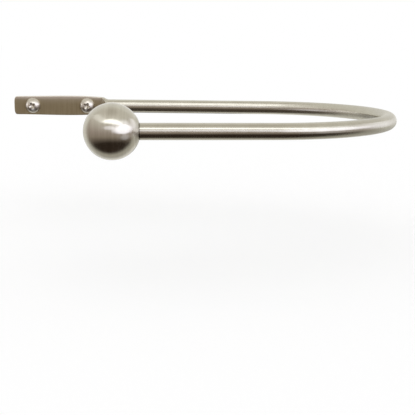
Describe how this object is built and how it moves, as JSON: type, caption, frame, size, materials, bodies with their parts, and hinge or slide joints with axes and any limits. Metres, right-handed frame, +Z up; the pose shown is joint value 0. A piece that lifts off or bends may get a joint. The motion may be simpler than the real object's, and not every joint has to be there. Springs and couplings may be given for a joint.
{
  "type": "curtain holdback",
  "caption": "Wall-fixed curtain holdback: a round satin metal rod pressed into a screw tab at one end, bent in a wide open bow, with a ball finial at the free end.",
  "frame": {"origin": "on the wall, midway between the axes of the two screws", "axes": "+X along the wall from the tab towards the bow, +Y into the wall so that the room is on the -Y side, +Z up"},
  "size_m": [0.1677, 0.1519, 0.02],
  "materials": {
    "satin_nickel": "satin nickel plate, lightly brushed along the rod",
    "satin_nickel_ball": "satin nickel plate, lightly brushed round the ball",
    "screw_nickel": "bright nickel plate"
  },
  "bodies": {
    "root": {"holdback_arm": "satin_nickel", "ball_finial": "satin_nickel_ball", "mounting_screws": "screw_nickel"}
  },
  "joints": []
}
